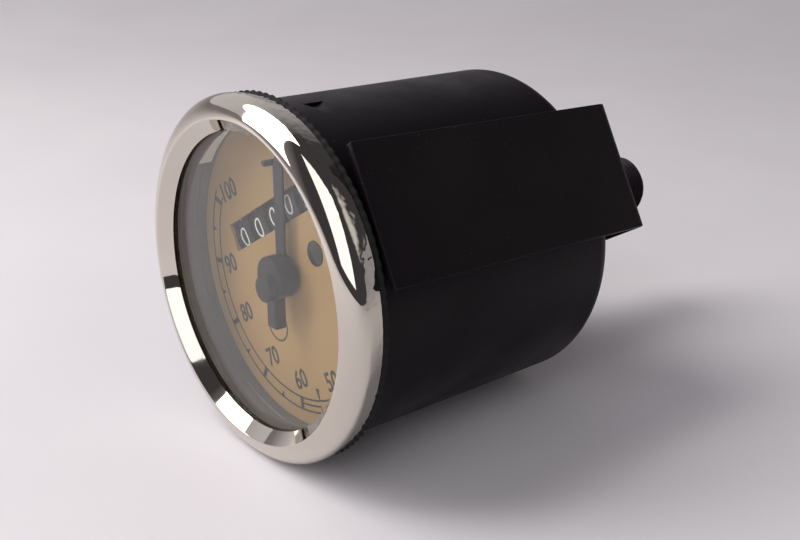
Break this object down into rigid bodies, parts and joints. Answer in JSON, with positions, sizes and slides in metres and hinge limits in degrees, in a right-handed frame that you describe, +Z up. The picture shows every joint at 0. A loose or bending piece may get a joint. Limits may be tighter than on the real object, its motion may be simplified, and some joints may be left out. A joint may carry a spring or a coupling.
{
  "type": "vintage speedometer",
  "caption": "Round panel speedometer with chrome bezel, gold dial, needle and drum odometer, held by a U-shaped bridge clamp and driven by a flexible cable at its rear neck.",
  "frame": {"origin": "centre of the panel seat, on the instrument's axis at the rear face of the panel gasket", "axes": "+Y along the instrument's axis from the dial to the drive neck, so the dial faces -Y; +Z up as it lies on a bench, rolled 30 degrees about Y, so the dial's 12 o'clock points along (-0.5, 0, 0.866)"},
  "size_m": [0.0844, 0.124, 0.08],
  "materials": {
    "chrome": "polished chrome plate on a rolled brass bezel",
    "glass": "flat clear instrument glass with light haze",
    "black_rubber": "matt moulded rubber",
    "grey_ring": "matt grey paint",
    "black_paint": "satin black stove enamel",
    "dial_gold": "matt gold lacquer with black printing",
    "dark_lens": "dark unlit lens",
    "steel": "turned and pressed steel",
    "brass": "turned and stamped brass",
    "zinc": "cast, as found on bases and magnets",
    "alloy": "drawn aluminium",
    "drum_black": "black moulded drums with white digits"
  },
  "bodies": {
    "housing": {"bezel": "chrome", "glass": "glass", "glass_seal": "black_rubber", "panel_gasket": "black_rubber", "shadow_ring": "grey_ring", "case": "black_paint", "bracket": "black_paint", "drive_neck": "black_paint", "stop_pin": "black_paint", "dial": "dial_gold", "tell_tale_lens": "dark_lens", "bracket_studs": "steel", "bracket_washers": "steel", "bracket_nuts": "steel", "base_screws": "steel", "rear_pillars": "steel", "dial_pillars": "steel", "hairspring": "steel", "odometer_frame": "steel", "odometer_screws": "steel", "odometer_axle": "steel", "pinion_axle": "steel", "neck_bush": "brass", "bridge": "brass", "arbor_bush": "brass", "hairspring_stud": "brass", "base": "zinc"},
    "needle": {"needle": "black_paint", "needle_cap": "black_paint", "arbor": "steel", "speed_cup": "alloy", "hairspring_collet": "brass"},
    "spindle": {"spindle": "steel", "spindle_worm": "steel", "magnet": "zinc", "field_cup": "steel", "thrust_washer": "brass", "spindle_clip": "steel"},
    "cross_shaft": {"cross_shaft": "steel", "cross_wheel": "brass", "cross_worm": "steel"},
    "lay_shaft": {"lay_shaft": "steel", "lay_wheel": "brass", "lay_worm": "steel"},
    "drum_1": {"drum_1": "drum_black", "drum_gear": "brass"},
    "drum_2": {"drum_2": "drum_black"},
    "drum_3": {"drum_3": "drum_black"},
    "drum_4": {"drum_4": "drum_black"},
    "drum_5": {"drum_5": "drum_black"},
    "pinion_1": {"pinion_1": "brass"},
    "pinion_2": {"pinion_2": "brass"},
    "pinion_3": {"pinion_3": "brass"},
    "pinion_4": {"pinion_4": "brass"}
  },
  "joints": [
    {"name": "needle_swing", "type": "hinge", "parent": "housing", "child": "needle", "pos_m": [0, 0.002, 0], "axis": [0, 1, 0], "range_deg": [0, 347], "stiffness_Nm_per_rad": 0.0002, "springref_deg": -34.38, "deforming": ["hairspring"]},
    {"name": "spindle_spin", "type": "hinge", "parent": "housing", "child": "spindle", "pos_m": [0, 0.0538, 0], "axis": [0, 1, 0], "continuous": true},
    {"name": "cross_spin", "type": "hinge", "parent": "housing", "child": "cross_shaft", "pos_m": [0.0043, 0.0538, -0.00745], "axis": [0.866, 0, 0.5], "continuous": true},
    {"name": "lay_spin", "type": "hinge", "parent": "housing", "child": "lay_shaft", "pos_m": [0.01622, 0.0157, 0.01375], "axis": [0, 1, 0], "continuous": true},
    {"name": "drum_1_spin", "type": "hinge", "parent": "housing", "child": "drum_1", "pos_m": [-0.0066, 0.0157, 0.01143], "axis": [0.866, 0, 0.5], "continuous": true},
    {"name": "drum_2_spin", "type": "hinge", "parent": "housing", "child": "drum_2", "pos_m": [-0.0066, 0.0157, 0.01143], "axis": [0.866, 0, 0.5], "continuous": true},
    {"name": "drum_3_spin", "type": "hinge", "parent": "housing", "child": "drum_3", "pos_m": [-0.0066, 0.0157, 0.01143], "axis": [0.866, 0, 0.5], "continuous": true},
    {"name": "drum_4_spin", "type": "hinge", "parent": "housing", "child": "drum_4", "pos_m": [-0.0066, 0.0157, 0.01143], "axis": [0.866, 0, 0.5], "continuous": true},
    {"name": "drum_5_spin", "type": "hinge", "parent": "housing", "child": "drum_5", "pos_m": [-0.0066, 0.0157, 0.01143], "axis": [0.866, 0, 0.5], "continuous": true},
    {"name": "pinion_1_spin", "type": "hinge", "parent": "housing", "child": "pinion_1", "pos_m": [-0.0122, 0.0157, 0.02113], "axis": [0.866, 0, 0.5], "continuous": true},
    {"name": "pinion_2_spin", "type": "hinge", "parent": "housing", "child": "pinion_2", "pos_m": [-0.0122, 0.0157, 0.02113], "axis": [0.866, 0, 0.5], "continuous": true},
    {"name": "pinion_3_spin", "type": "hinge", "parent": "housing", "child": "pinion_3", "pos_m": [-0.0122, 0.0157, 0.02113], "axis": [0.866, 0, 0.5], "continuous": true},
    {"name": "pinion_4_spin", "type": "hinge", "parent": "housing", "child": "pinion_4", "pos_m": [-0.0122, 0.0157, 0.02113], "axis": [0.866, 0, 0.5], "continuous": true}
  ],
  "couplings": [
    {"joint": "cross_spin", "follows": "spindle_spin", "ratio": 0.1},
    {"joint": "lay_spin", "follows": "spindle_spin", "ratio": 0.0071429},
    {"joint": "drum_1_spin", "follows": "spindle_spin", "ratio": -0.00071429},
    {"joint": "drum_2_spin", "follows": "spindle_spin", "ratio": -0.000071429},
    {"joint": "drum_3_spin", "follows": "spindle_spin", "ratio": -0.0000071429},
    {"joint": "drum_4_spin", "follows": "spindle_spin", "ratio": -0.00000071429},
    {"joint": "drum_5_spin", "follows": "spindle_spin", "ratio": -0.000000071429},
    {"joint": "pinion_1_spin", "follows": "spindle_spin", "ratio": 0.00017857},
    {"joint": "pinion_2_spin", "follows": "spindle_spin", "ratio": 0.000017857},
    {"joint": "pinion_3_spin", "follows": "spindle_spin", "ratio": 0.0000017857},
    {"joint": "pinion_4_spin", "follows": "spindle_spin", "ratio": 0.00000017857}
  ]
}
